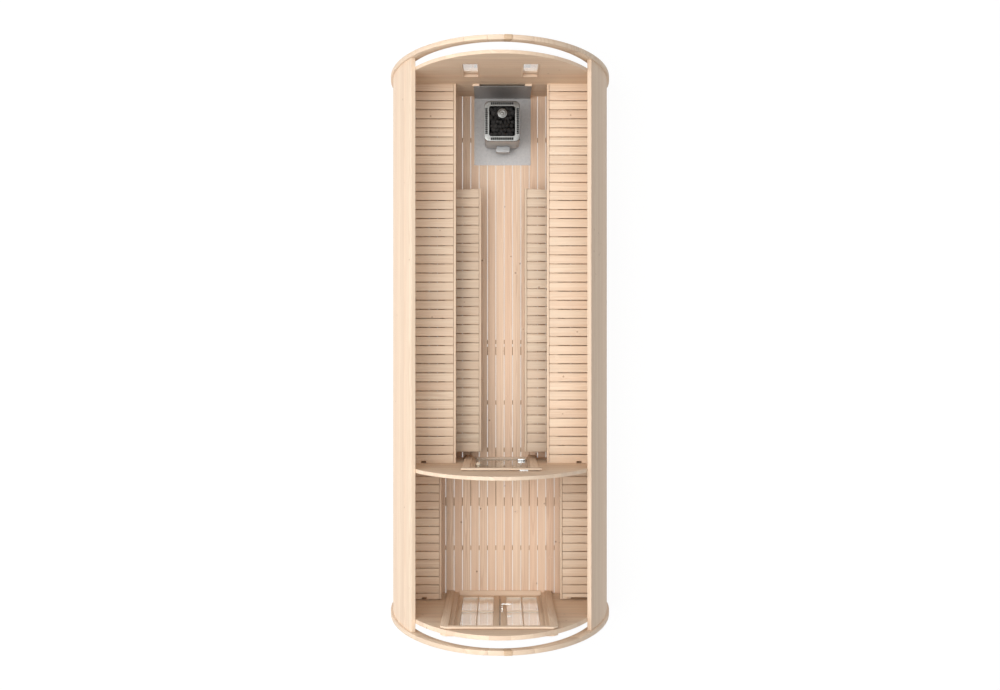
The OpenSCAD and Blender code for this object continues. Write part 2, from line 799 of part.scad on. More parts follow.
shield_x = heater_x + 5;
batten_mid = heater_x + 1;
cab_inset = 2;
box_w = 150;
box_out = 66;
cup_r = 57;
cup_t = 16;
cup_back = 134;

module heater_cabinet() {
    color("Gray") {
        translate([heater_x, heater_y, 0]) {
            difference() {
                translate([0, 0, cab_z])
                    round_box(heater_w - 2 * cab_inset, heater_d - 2 * cab_inset, heater_r - cab_inset,
                        cab_top - cab_z - gap);
                translate([0, 0, cab_z + well_h]) round_box(well_w, well_d, well_r, cab_top);
            }
            for (x = [-1, 1], y = [-1, 1]) translate([x * 110, y * 150, zf + sheet_t + gap])
                cylinder(r = 16, h = cab_z - zf - sheet_t, $fn = 32);
        }
        translate([heater_x - 66, heater_back - heater_d - box_out, zf + 120])
            cube([box_w, box_out + 20, 140]);
    }
}

// The pressed cover, and the water cup that stands on the stones
module heater_top() {
    color("Gainsboro") {
        translate([heater_x, heater_y, cab_top]) difference() {
            round_box(heater_w, heater_d, heater_r, top_t);
            translate([0, 0, -5]) round_box(well_w, well_d, well_r, top_t + 10);
        }
        translate([heater_x + 2, heater_back - cup_back, stones_z + gap])
            cylinder(r1 = cup_r - 8, r2 = cup_r, h = cup_t, $fn = 48);
    }
}

module heater_stones() {
    color("DimGray") translate([heater_x, heater_y, cab_z + well_h + gap])
        round_box(well_w - 6, well_d - 6, well_r - 2, stones_z - cab_z - well_h - gap);
}

module heat_shield() {
    w = shield_w / 2;
    y1 = rear_in - shield_gap;
    color("DarkGray") translate([shield_x, 0, 0]) {
        block(-w, w, y1 - sheet_t, y1, zf + 4, zf + shield_h);
        block(-w - 5, w + 5, rear_in - plate_d, y1 - sheet_t - gap, zf + gap, zf + sheet_t);
    }
}

module shield_battens() {
    w = batten_w / 2;
    color("Wheat") for (s = [-1, 1]) translate([batten_mid + s * batten_x, 0, 0])
        block(-w, w, rear_in - shield_gap + gap, rear_in - gap, zf + gap, zf + shield_h - 5);
}

ground_bearers();
floor_boards();
left_lower_wall();
left_upper_wall();
right_lower_wall();
right_upper_wall();
rear_left_hoop();
rear_right_hoop();
front_left_hoop();
front_right_hoop();
hoop_crowns();
cover_blocks();
rear_wall();
rear_window_frames();
rear_window_glass();
front_wall_sides();
front_wall_head();
partition_sides();
partition_head();
front_door_jambs();
front_door_head();
front_door_sill();
inner_door_jambs();
inner_door_head();
inner_door_sill();
left_leaf();
left_leaf_glass();
left_leaf_hinges();
right_leaf();
right_leaf_glass();
right_leaf_hinges();
door_handle();
inner_glass_door();
inner_door_hinges();
inner_door_knob();
upper_benches();
lower_benches();
front_benches();
bench_supports();
heater_cabinet();
heater_top();
heater_stones();
heat_shield();
shield_battens();
frame_hinges();
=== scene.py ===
import math
import random
import bmesh
import bpy
from mathutils import Matrix, Vector


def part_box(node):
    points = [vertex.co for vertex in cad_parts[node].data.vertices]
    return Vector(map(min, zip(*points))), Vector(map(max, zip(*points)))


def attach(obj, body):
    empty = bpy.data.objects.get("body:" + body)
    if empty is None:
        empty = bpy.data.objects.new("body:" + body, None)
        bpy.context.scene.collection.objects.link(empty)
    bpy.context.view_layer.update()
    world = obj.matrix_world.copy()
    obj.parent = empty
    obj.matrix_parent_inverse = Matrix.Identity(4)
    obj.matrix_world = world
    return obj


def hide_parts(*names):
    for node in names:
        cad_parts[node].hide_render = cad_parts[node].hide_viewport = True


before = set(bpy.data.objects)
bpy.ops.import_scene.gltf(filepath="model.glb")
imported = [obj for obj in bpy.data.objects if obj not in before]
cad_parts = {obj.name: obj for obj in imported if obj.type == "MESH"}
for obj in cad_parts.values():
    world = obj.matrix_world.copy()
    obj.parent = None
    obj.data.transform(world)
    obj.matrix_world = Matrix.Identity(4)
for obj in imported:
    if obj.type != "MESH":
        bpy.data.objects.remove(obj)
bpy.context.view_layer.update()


# ---------------------------------------------------------------- camera
# A 50 mm lens straight above the middle of the pod, 15.7 m up, with the
# heater end at the top of the frame.
camera = bpy.data.objects.new("camera", bpy.data.cameras.new("camera"))
camera.data.lens = 50.0
camera.data.sensor_width = 36.0
camera.data.clip_end = 200.0
camera.location = (0.0, 0.0, 15.68)
bpy.context.scene.collection.objects.link(camera)
bpy.context.scene.camera = camera
bpy.context.scene.view_settings.view_transform = "Standard"


# ---------------------------------------------------------------- studio
# A white paper floor under a white dome, with a wide silk overhead, a soft box above
# and to the left, and a low one on the left. The floor keeps a faint shadow of the pod.
def fill(tree, target, inputs):
    """Set a node's inputs, each as a value or as a link from a socket or a node."""
    for key, value in inputs.items():
        if isinstance(value, bpy.types.Node):
            value = value.outputs[0]
        if isinstance(value, bpy.types.NodeSocket):
            tree.links.new(value, target.inputs[key])
        else:
            target.inputs[key].default_value = value


def node(tree, kind, inputs=None, **settings):
    """Add one node, with its settings and its inputs."""
    new = tree.nodes.new(kind)
    for key, value in settings.items():
        setattr(new, key, value)
    fill(tree, new, inputs or {})
    return new


def maths(tree, operation, *values, clamp=False):
    """One step of arithmetic on values or links."""
    return node(tree, "ShaderNodeMath", dict(enumerate(values)), operation=operation, use_clamp=clamp)


def remap(tree, value, low=0.0, high=1.0, to_low=0.0, to_high=1.0, **settings):
    """A value moved from one range to another and held inside it."""
    return node(tree, "ShaderNodeMapRange", {"Value": value, "From Min": low, "From Max": high,
                                             "To Min": to_low, "To Max": to_high}, **settings)


def seen_straight(tree):
    """1 for rays from the camera, off metal or through glass, otherwise 0."""
    path = node(tree, "ShaderNodeLightPath")
    total = maths(tree, "ADD", path.outputs["Is Camera Ray"], path.outputs["Is Glossy Ray"])
    return maths(tree, "ADD", total, path.outputs["Is Transmission Ray"], clamp=True)


white = (1.0, 1.0, 1.0, 1.0)
world = bpy.data.worlds.new("white dome")
world.use_nodes = True
tree = world.node_tree
tree.nodes.clear()
level = remap(tree, seen_straight(tree), to_low=0.31)
dome = node(tree, "ShaderNodeBackground", {"Color": white, "Strength": level})
node(tree, "ShaderNodeOutputWorld", {"Surface": dome})
bpy.context.scene.world = world

for name, place, wide, long, power in (("overhead silk", (-2.0, 0.0, 18.0), 18.0, 18.0, 2210.0),
                                       ("soft box", (-6.2, 0.0, 16.9), 6.0, 8.0, 860.0),
                                       ("low fill", (-16.0, 0.0, 4.5), 6.0, 8.0, 780.0)):
    lamp = bpy.data.objects.new(name, bpy.data.lights.new(name, "AREA"))
    lamp.data.shape = "RECTANGLE"
    lamp.data.size = wide
    lamp.data.size_y = long
    lamp.data.energy = power
    lamp.location = place
    lamp.rotation_euler = (-lamp.location).to_track_quat("-Z", "Y").to_euler()
    bpy.context.scene.collection.objects.link(lamp)

paper = bpy.data.materials.new("matt white paper")
paper.use_nodes = True
tree = paper.node_tree
tree.nodes.clear()
glow = node(tree, "ShaderNodeEmission", {"Color": white, "Strength": 0.92})
thin = node(tree, "ShaderNodeBsdfDiffuse", {"Color": (0.10, 0.10, 0.10, 1.0)})
shown = node(tree, "ShaderNodeAddShader", {0: glow, 1: thin})
lit = node(tree, "ShaderNodeBsdfDiffuse", {"Color": (0.8, 0.8, 0.8, 1.0)})
both = node(tree, "ShaderNodeMixShader", {0: seen_straight(tree), 1: lit, 2: shown})
node(tree, "ShaderNodeOutputMaterial", {"Surface": both})

bm = bmesh.new()
bmesh.ops.create_grid(bm, x_segments=1, y_segments=1, size=60.0, matrix=Matrix.Translation((0, 0, -0.0005)))
sheet = bpy.data.meshes.new("paper floor")
bm.to_mesh(sheet)
bm.free()
sheet.materials.append(paper)
floor = bpy.data.objects.new("paper_floor", sheet)
bpy.context.scene.collection.objects.link(floor)


# ---------------------------------------------------------------- ground bearers
# Three pressure treated pine beams, 72 mm wide, laid along the pod on the
# ground. Sawn to size with eased edges; the joists are screwed down on them.
chance = random.Random(11)


def linear(code):
    """An sRGB hex colour as a linear colour with alpha."""
    parts = [int(code[i:i + 2], 16) / 255.0 for i in (1, 3, 5)]
    return tuple(p / 12.92 if p <= 0.04045 else ((p + 0.055) / 1.055) ** 2.4 for p in parts) + (1.0,)


def blend(tree, amount, first, second):
    """A mix of two colours, each a hex code or a link."""
    ends = [linear(colour) if isinstance(colour, str) else colour for colour in (first, second)]
    return node(tree, "ShaderNodeMix", {0: amount, 6: ends[0], 7: ends[1]}, data_type="RGBA").outputs[2]


def new_material(name):
    """A material with a Principled shader in it."""
    made = bpy.data.materials.new(name)
    made.use_nodes = True
    return made, made.node_tree, made.node_tree.nodes["Principled BSDF"]


def noise(tree, vector, scale, detail, **more):
    """Soft noise over a place."""
    return node(tree, "ShaderNodeTexNoise", {"Vector": vector, "Scale": scale, "Detail": detail, **more})


def timber(name, pale, warm, late, knot, rings=0.009, knots=0.12, rough=0.6):
    """Sawn and planed wood. 'grain' is a place in the board's own log, in metres, and 'tone' is one
    number a board. Year rings stand round the pith, run along the board and bow round the knots."""
    made, tree, skin = new_material(name)
    grain = node(tree, "ShaderNodeAttribute", attribute_name="grain").outputs["Vector"]
    tone = node(tree, "ShaderNodeAttribute", attribute_name="tone").outputs["Fac"]

    def stretched(*scale):
        return node(tree, "ShaderNodeVectorMath", {0: grain, 1: scale}, operation="MULTIPLY")

    # Branches: one spot of 8 to 12 mm radius in some cells of 110 mm
    cells = node(tree, "ShaderNodeTexVoronoi", {"Vector": grain, "Scale": 9.0})
    pick = node(tree, "ShaderNodeSeparateColor", {0: cells.outputs["Color"]})
    kept = maths(tree, "GREATER_THAN", pick, 1.0 - knots)
    distance = cells.outputs["Distance"]
    bow = remap(tree, distance, 0.30, 0.05, 0.0, 0.016, interpolation_type="SMOOTHSTEP")
    bow = maths(tree, "MULTIPLY", bow, kept)
    core = maths(tree, "MULTIPLY", remap(tree, distance, 0.12, 0.06, 0.0, 0.6), kept)
    # Year rings: distance from the pith, bent slowly along the board
    radius = node(tree, "ShaderNodeVectorMath", {0: stretched(0.0, 1.0, 1.0)}, operation="LENGTH")
    bend = noise(tree, stretched(0.8, 7.0, 7.0), 1.0, 2.0)
    bent = maths(tree, "MULTIPLY_ADD", bend, 0.05, radius.outputs["Value"])
    bent = maths(tree, "ADD", bent, bow)
    wave = maths(tree, "SINE", maths(tree, "MULTIPLY", bent, 2.0 * math.pi / rings))
    ring = remap(tree, wave, -0.3, 1.0, 0.0, 0.26, interpolation_type="SMOOTHSTEP")
    # Streaks of 15 to 25 mm that run on for about a metre
    streak = noise(tree, stretched(1.1, 52.0, 52.0), 1.0, 4.0, Roughness=0.6)
    shade = maths(tree, "ADD", ring, remap(tree, streak, 0.4, 0.75, 0.0, 0.30), clamp=True)
    grown = blend(tree, shade, blend(tree, tone, pale, warm), late)
    marked = blend(tree, core, grown, knot)
    # Each board is a little lighter or darker than the next
    spread = maths(tree, "FRACT", maths(tree, "MULTIPLY", tone, 7.31))
    spread = remap(tree, spread, to_low=0.93, to_high=1.03)
    board = node(tree, "ShaderNodeHueSaturation", {"Color": marked, "Value": spread})
    relief = maths(tree, "ADD", shade, core)
    bump = node(tree, "ShaderNodeBump", {"Strength": 0.3, "Distance": 0.0006, "Height": relief}, invert=True)
    worn = remap(tree, streak, to_low=rough - 0.08, to_high=rough + 0.1)
    fill(tree, skin, {"Base Color": board, "Roughness": worn, "Normal": bump})
    return made


# The directions along, across and up the pod
LONG, WIDE, TALL = (0, 1, 0), (1, 0, 0), (0, 0, 1)


def lay_grain(part, along, across=None, tone=None):
    """Give a board its own place in a log, and its own tone."""
    along = Vector(along).normalized()
    across = Vector(across or (TALL if abs(along.z) < 0.5 else WIDE))
    across = (across - along * across.dot(along)).normalized()
    deep = along.cross(across)
    spots = [v.co for v in part.verts]
    mid_a = sum(p.dot(across) for p in spots) / len(spots)
    mid_d = sum(p.dot(deep) for p in spots) / len(spots)
    start = chance.uniform(0.0, 60.0)
    angle = chance.uniform(0.0, 2.0 * math.pi)
    pith = chance.uniform(0.03, 0.12)
    off_a, off_d = pith * math.cos(angle), pith * math.sin(angle)
    tone = chance.random() if tone is None else tone
    grain_layer = part.verts.layers.float_vector.new("grain")
    tone_layer = part.verts.layers.float.new("tone")
    for v in part.verts:
        v[grain_layer] = Vector((v.co.dot(along) + start, v.co.dot(across) - mid_a + off_a,
                                 v.co.dot(deep) - mid_d + off_d))
        v[tone_layer] = tone


def join(whole, part):
    """Put a finished board into the piece it belongs to."""
    scrap = bpy.data.meshes.new("scrap")
    part.to_mesh(scrap)
    part.free()
    whole.from_mesh(scrap)
    bpy.data.meshes.remove(scrap)


def block(low, high):
    """A plain block between two corners."""
    part = bmesh.new()
    bmesh.ops.create_cube(part, size=1.0, matrix=Matrix.Translation((low + high) / 2)
                          @ Matrix.Diagonal((*(high - low), 1.0)))
    return part


def round_off(part, edges, ease, segments=1):
    """Ease some of the edges of a part."""
    bmesh.ops.bevel(part, geom=edges, offset=ease, offset_type="OFFSET", segments=segments, profile=0.5,
                    affect="EDGES", clamp_overlap=True, material=-1)


def plank(whole, low, high, along, ease=0.002, segments=1, across=None, tone=None):
    """A board between two corners, with eased edges. Its grain lies flat in its wider face."""
    low, high = Vector(low), Vector(high)
    size = high - low
    if across is None:
        faces = [way for way in ((size.x, WIDE), (size.y, LONG), (size.z, TALL)) if way[1] != along]
        across = max(faces, key=lambda way: way[0])[1]
    part = block(low, high)
    round_off(part, part.edges[:], ease, segments)
    lay_grain(part, along, across, tone)
    join(whole, part)


def piece(name, bm, materials, stands_for=(), body="pod", smooth=None):
    """Turn a mesh into an object of the pod that rides on a body."""
    mesh = bpy.data.meshes.new(name)
    bm.to_mesh(mesh)
    bm.free()
    for made in materials:
        mesh.materials.append(made)
    if smooth is not None:
        mesh.polygons.foreach_set("use_smooth", [True] * len(mesh.polygons))
        mesh.set_sharp_from_angle(angle=math.radians(smooth))
    obj = bpy.data.objects.new(name, mesh)
    bpy.context.scene.collection.objects.link(obj)
    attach(obj, body)
    if stands_for:
        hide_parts(*stands_for)
    return obj


# Treated pine: planed softwood soaked in preservative, dull and faintly green
treated_pine = timber("pressure treated pine", "#C2B48C", "#B3A57E", "#8E7E56", "#5E4A2C",
                      knots=0.3, rough=0.7)

low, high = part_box("ground_bearers")
beam_wide = 0.072
bm = bmesh.new()
for x in (low.x, -beam_wide / 2, high.x - beam_wide):
    plank(bm, (x, low.y, low.z), (x + beam_wide, high.y, high.z), LONG, ease=0.004)
piece("bearer_beams", bm, [treated_pine], ["ground_bearers"])


# ---------------------------------------------------------------- floor
# Planed spruce boards, 88 x 28 mm, laid along the pod with 5 mm joints on
# cross joists, with three trimmers between two of them. The joints let light through.
spruce = timber("planed spruce", "#EFDAC1", "#E8CFB6", "#D0AE90", "#8F6440")
flooring = timber("planed spruce flooring", "#F4DABF", "#EDCCB0", "#CBA180", "#84563A", knots=0.2)
sawn = timber("rough sawn spruce", "#B9997A", "#AC8A6B", "#8C6A4C", "#5E4028", rough=0.75)

low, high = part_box("floor_boards")
floor_top = high.z
board, joint, thick = 0.0884, 0.005, 0.028
pitch = board + joint
floor_low = floor_top - thick
bm = bmesh.new()
for i in range(-11, 12):
    x = i * pitch
    plank(bm, (x - board / 2, low.y, floor_low), (x + board / 2, high.y, floor_top), LONG, ease=0.0015)
edge = 11 * pitch + board / 2 + joint
plank(bm, (edge, low.y, floor_low), (high.x, high.y, floor_top), LONG)
plank(bm, (low.x, low.y, floor_low), (-edge, high.y, floor_top), LONG)
piece("floor_planks", bm, [flooring], ["floor_boards"])

# The joists and the trimmers are left rough from the saw, and darker
joist_half, trimmer_half = 0.0235, 0.022
joist_top = floor_low - 0.0002
bm = bmesh.new()
for y in (-2.860, -2.277, -1.782, -1.737, -1.176, -0.645, -0.090, -0.043, 0.034, 2.300, 2.860):
    plank(bm, (low.x, y - joist_half, low.z), (high.x, y + joist_half, joist_top), WIDE)
for i in (-3.5, -0.5, 3.5):
    x = i * pitch
    plank(bm, (x - trimmer_half, -1.7133, low.z), (x + trimmer_half, -1.1997, joist_top), LONG)
piece("floor_joists", bm, [sawn])


# ---------------------------------------------------------------- side walls
# Spruce staves, 88 x 44 mm, run the whole length between the end hoops and
# are bent round them one by one. The joints show as fine V grooves.
# The outer face is half of an ellipse: half its width, and its height over the spring
spring = 0.044
wall_wide, wall_tall, wall_thick = 1.188, 2.431, 0.044


def arch_point(wide, tall, t, inward=0.0):
    """A point of the arch at an angle, moved inwards square to the curve."""
    out = Vector((math.cos(t) / wide, math.sin(t) / tall)).normalized()
    return Vector((wide * math.cos(t), spring + tall * math.sin(t))) - out * inward


def draw_out(part, offset):
    """Draw the flat face of a part out to a solid."""
    drawn = bmesh.ops.extrude_face_region(part, geom=part.faces[:])
    bmesh.ops.translate(part, vec=offset,
                        verts=[g for g in drawn["geom"] if isinstance(g, bmesh.types.BMVert)])
    bmesh.ops.recalc_face_normals(part, faces=part.faces[:])


def prism(outline, low_y, high_y):
    """An outline in the XZ plane, drawn out along Y."""
    part = bmesh.new()
    part.faces.new([part.verts.new((p[0], low_y, p[1])) for p in outline])
    draw_out(part, (0, high_y - low_y, 0))
    return part


def ease_edges(part, ease, segments=1, sharp=20.0):
    """Ease the edges of a board, and leave the small steps of a curve alone."""
    edges = [e for e in part.edges if len(e.link_faces) == 2 and e.calc_face_angle(0.0) > math.radians(sharp)]
    round_off(part, edges, ease, segments)


def pace(t):
    """How far the arch runs for each radian, at an angle."""
    return math.hypot(wall_wide * math.sin(t), wall_tall * math.cos(t))


stave, stave_foot = 0.088, 0.005
joints = [math.asin((stave_foot - spring) / wall_tall)]
while len(joints) < 20:
    t = joints[-1]
    joints.append(t + stave / pace(t + stave / pace(t) / 2))

low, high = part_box("right_lower_wall")
for side, count, nodes in ((1, 18, ["right_lower_wall", "right_upper_wall"]),
                           (-1, 19, ["left_lower_wall", "left_upper_wall"])):
    bm = bmesh.new()
    for a, b in zip(joints[:count], joints[1:count + 1]):
        outline = [arch_point(wall_wide, wall_tall, t, d) for t, d in
                   ((a, 0.0), (b, 0.0), (b, wall_thick), (a, wall_thick))]
        part = prism([(side * p.x, p.y) for p in outline], low.y, high.y)
        ease_edges(part, 0.0022)
        run = outline[1] - outline[0]
        lay_grain(part, LONG, (side * run.x, 0, run.y))
        join(bm, part)
    piece("right_staves" if side > 0 else "left_staves", bm, [spruce], nodes)


# ---------------------------------------------------------------- end hoops
# Two arched hoops, 46 x 120 mm, cut from spruce boards and glued end to end.
# A darker filler block closes the crown of each and stands a little proud.
hoop_wide, hoop_tall, hoop_deep = 1.213, 2.456, 0.120
weathered = timber("weathered spruce", "#DCBF9F", "#D0B090", "#B39473", "#7A5634")


def hoop_segment(whole, a, b, low_y, high_y, proud=0.0, steps=9):
    """One curved board of a hoop between two angles."""
    angles = [a + (b - a) * i / steps for i in range(steps + 1)]
    outer = [arch_point(hoop_wide, hoop_tall, t, -proud) for t in angles]
    inner = [arch_point(hoop_wide, hoop_tall, t, hoop_deep) for t in reversed(angles)]
    part = prism(outer + inner, low_y, high_y)
    ease_edges(part, 0.003, segments=2)
    run = outer[-1] - outer[0]
    lay_grain(part, (run.x, 0, run.y), (0, 1, 0))
    join(whole, part)


def at_x(x):
    """The angle at which a hoop's outer curve passes over x."""
    return math.acos(x / hoop_wide)


foot = math.asin(-spring / hoop_tall)
slit = 0.0006
rim_right, block_right, block_left, rim_left = at_x(0.330), at_x(0.1175), at_x(0.0425), at_x(-0.122)
right = [foot, 0.42, 0.86, rim_right]
left = [rim_left, at_x(-0.345), math.pi - 0.80, math.pi - 0.38, math.pi - foot]
for end in ("rear", "front"):
    low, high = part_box(end + "_left_hoop")
    for side_name, stops in (("right", right), ("left", left)):
        bm = bmesh.new()
        for a, b in zip(stops, stops[1:]):
            hoop_segment(bm, a + slit, b - slit, low.y, high.y)
        piece(f"{end}_{side_name}_rim", bm, [spruce], [f"{end}_{side_name}_hoop"], smooth=30)
bm = bmesh.new()
blocks = bmesh.new()
for end in ("front", "rear"):
    low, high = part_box(end + "_left_hoop")
    hoop_segment(bm, rim_right + slit, block_right - slit, low.y, high.y, steps=5)
    hoop_segment(bm, block_left + slit, rim_left - slit, low.y, high.y, steps=4)
    hoop_segment(blocks, block_right, block_left, low.y, high.y, proud=0.0118, steps=3)
piece("crown_rims", bm, [spruce], ["hoop_crowns"], smooth=30)
piece("crown_blocks", blocks, [weathered], ["cover_blocks"], smooth=30)


# ---------------------------------------------------------------- rear wall
# Spruce boards, 88 x 36 mm, laid level one on another between the staves and
# sawn off along the arch, with two slim windows cut through.
def saw(part, place, way, **waste):
    """Cut the flat face of a part along a plane."""
    bmesh.ops.bisect_plane(part, geom=part.verts[:] + part.edges[:] + part.faces[:], plane_co=place,
                           plane_no=way, **waste)


def arch_boards(whole, low_y, high_y, foot_z, openings):
    """Level boards that fill the arch inside the staves, with openings (x0, x1, z0, z1) cut out."""
    tall, gap, sliver = 0.088, 0.0015, 0.0005
    crown = spring + wall_tall - wall_thick - gap
    for row in range(math.ceil((crown - foot_z) / tall)):
        z0, z1 = foot_z + row * tall, min(foot_z + (row + 1) * tall, crown)
        part = bmesh.new()
        curve = [arch_point(wall_wide, wall_tall, math.pi * i / 120, wall_thick + gap) for i in range(121)]
        part.faces.new([part.verts.new((p.x, low_y, p.y)) for p in curve])
        saw(part, (0, 0, z0), TALL, clear_inner=True)
        saw(part, (0, 0, z1), TALL, clear_outer=True)
        cut = [o for o in openings if o[2] < z1 - sliver and o[3] > z0 + sliver]
        for x0, x1, low_z, high_z in cut:
            for x in (x0, x1):
                saw(part, (x, 0, 0), WIDE)
            for z in (low_z, high_z):
                saw(part, (0, 0, z), TALL)
        gone = [f for f in part.faces if any(o[0] < f.calc_center_median().x < o[1]
                                             and o[2] < f.calc_center_median().z < o[3] for o in cut)]
        bmesh.ops.delete(part, geom=gone, context="FACES")
        if not part.faces:
            part.free()
            continue
        bmesh.ops.dissolve_limit(part, angle_limit=math.radians(0.5), verts=part.verts[:],
                                 edges=part.edges[:])
        draw_out(part, (0, high_y - low_y, 0))
        ease_edges(part, 0.0018, sharp=35.0)
        lay_grain(part, WIDE, TALL)
        join(whole, part)


low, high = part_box("rear_wall")
window_low, window_high = floor_top + 1.130, floor_top + 1.785
windows = [(-0.394, -0.206), (0.217, 0.405)]
bm = bmesh.new()
arch_boards(bm, low.y, high.y - 0.008, low.z, [(a, b, window_low, window_high) for a, b in windows])
piece("rear_wall_boards", bm, [spruce], ["rear_wall"])


# ---------------------------------------------------------------- rear windows
# Two fixed lights: planed spruce stiles flush with the room face, rails set
# back 26 mm between them, and one sheet of clear glass in each.
def glazing(name, tint, rough=0.015):
    """Sheet glass: hard and smooth, with faint wiping marks in its gloss."""
    made, tree, skin = new_material(name)
    spot = node(tree, "ShaderNodeTexCoord").outputs["Object"]
    marks = noise(tree, spot, 9.0, 3.0)
    gloss = remap(tree, marks, 0.45, 0.75, rough, rough + 0.06)
    fill(tree, skin, {"Base Color": blend(tree, marks, *tint), "Roughness": gloss,
                      "Transmission Weight": 1.0, "IOR": 1.5})
    return made


clear_glass = glazing("clear float glass", ("#FDFAF6", "#FEFCFA"))

low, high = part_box("rear_window_frames")
rail_y = low.y + 0.026
play, stile, rail_end, foot_rail, head_rail = 0.0003, 0.020, 0.0202, 0.100, 0.060
bm = bmesh.new()
for x0, x1 in windows:
    plank(bm, (x0 + play, low.y, low.z), (x0 + stile, high.y, high.z), TALL)
    plank(bm, (x1 - stile, low.y, low.z), (x1 - play, high.y, high.z), TALL)
    # The foot rail takes a fixed dark tone: painted shade for its place set back in the recess
    plank(bm, (x0 + rail_end, rail_y, low.z), (x1 - rail_end, high.y, low.z + foot_rail), WIDE, tone=0.97)
    plank(bm, (x0 + rail_end, rail_y, high.z - head_rail), (x1 - rail_end, high.y, high.z), WIDE)
piece("window_frames", bm, [spruce], ["rear_window_frames"])


def dress(name, made):
    """Give a CAD node that stays the finish of the real piece."""
    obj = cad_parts[name]
    for place in obj.material_slots:
        place.material = made


dress("rear_window_glass", clear_glass)


# ---------------------------------------------------------------- front wall
# Level spruce boards, 88 x 44 mm, sawn off along the arch, with the doorway of
# the two leaves left open in the middle.
low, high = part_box("front_wall_sides")
door_half, door_clear, door_top = 0.457, 0.5153, 2.112
below = -1.0  # under the lowest board, so the opening has no step
bm = bmesh.new()
arch_boards(bm, low.y, high.y, low.z, [(-door_clear, door_clear, below, door_top)])
piece("front_wall_boards", bm, [spruce], ["front_wall_sides", "front_wall_head"])


# ---------------------------------------------------------------- partition
# A wall of level spruce boards, 37 mm thick, between the two rooms. The inner
# doorway in it is lined with planed posts and a head.
low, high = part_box("partition_sides")
sauna_face, lobby_face = high.y, low.y
inner_x, inner_clear, inner_top = 0.003, 0.3343, 1.776
bm = bmesh.new()
arch_boards(bm, low.y + 0.004, high.y, low.z,
            [(inner_x - inner_clear, inner_x + inner_clear, below, inner_top)])
piece("partition_boards", bm, [spruce], ["partition_sides", "partition_head"])


# ---------------------------------------------------------------- front door frame
# Planed posts and head in the doorway, with a stop for the leaves, a low sill
# and flat casing boards on both faces. The head casing slopes with the arch.
def mirrored(side, a, b, middle=0.0):
    """Two distances from a middle line, as places in rising order on one side of it."""
    return (middle + a, middle + b) if side > 0 else (middle - b, middle - a)


def side_plank(whole, side, x, y, z, along, middle=0.0, **how):
    """A board of one side: x is a pair of distances from the middle line, y and z are places."""
    x0, x1 = mirrored(side, *x, middle)
    plank(whole, (x0, y[0], z[0]), (x1, y[1], z[1]), along, **how)


low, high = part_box("front_door_jambs")
outer_y, inner_y = low.y, high.y
room_y, skin_y = inner_y - 0.020, -2.8203
stop_y, stop_in = (-2.7938, -2.7885), 0.4472
post_top, sill_top, casing_wide = 2.0697, 0.1553, 0.080
bm = bmesh.new()
for side, casing_in in ((-1, 0.507), (1, 0.491)):
    casing_out, upright = casing_in + casing_wide, (low.z, post_top)
    side_plank(bm, side, (door_half, 0.5147), (outer_y, room_y), upright, TALL)
    side_plank(bm, side, (stop_in, door_half - 0.0002), stop_y, (sill_top, post_top - 0.010), TALL,
               ease=0.001)
    side_plank(bm, side, (casing_in, casing_out), (room_y, inner_y), upright, TALL, ease=0.004, segments=2)
    side_plank(bm, side, (0.5150, casing_out), (outer_y, skin_y), upright, TALL, ease=0.004, segments=2)
piece("door_posts", bm, [spruce], ["front_door_jambs"], smooth=40)

low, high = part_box("front_door_head")
head_low, head_half = 2.070, 0.5141
bm = bmesh.new()
plank(bm, (-head_half, -2.8200, head_low), (head_half, room_y, door_top), WIDE)
plank(bm, (-door_half, stop_y[0], head_low - 0.010), (door_half, stop_y[1], post_top), WIDE, ease=0.001)
for y0, y1 in ((room_y, inner_y), (outer_y, skin_y)):
    part = prism([(-0.587, head_low), (0.571, head_low), (0.563, 2.095), (0.521, high.z), (-0.537, high.z),
                  (-0.579, 2.095)], y0, y1)
    ease_edges(part, 0.004, segments=2, sharp=30.0)
    lay_grain(part, WIDE, TALL)
    join(bm, part)
piece("door_head_boards", bm, [spruce], ["front_door_head"], smooth=40)


def sill(name, stands_for):
    """A low sill with well rounded edges."""
    low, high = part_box(stands_for)
    bm = bmesh.new()
    plank(bm, low, high, WIDE, ease=0.006, segments=3)
    piece(name, bm, [spruce], [stands_for], smooth=40)


sill("door_sill_board", "front_door_sill")


# ---------------------------------------------------------------- front door leaves
# A pair of glazed leaves: 40 mm stiles and rails in planed spruce, a sealed unit
# of two panes in each, and a cross of slim bars on both faces of the glass.
def clouded(name, first, second, scale, detail, rough, metal=0.0):
    """A plain finish of two close colours that run softly into each other."""
    made, tree, skin = new_material(name)
    spot = node(tree, "ShaderNodeTexCoord").outputs["Object"]
    colour = blend(tree, noise(tree, spot, scale, detail), first, second)
    fill(tree, skin, {"Base Color": colour, "Roughness": rough, "Metallic": metal})
    return made


# Extruded rubber in the meeting edge is dull and a little dusty; the folded
# strip round the edge of the sealed panes is a matt, soft grey
rubber = clouded("brown rubber seal", "#5C4433", "#7A604A", 90.0, 3.0, 0.8)
aluminium = clouded("mill finish aluminium", "#C9C6C1", "#DCD9D4", 40.0, 2.0, 0.45, metal=1.0)

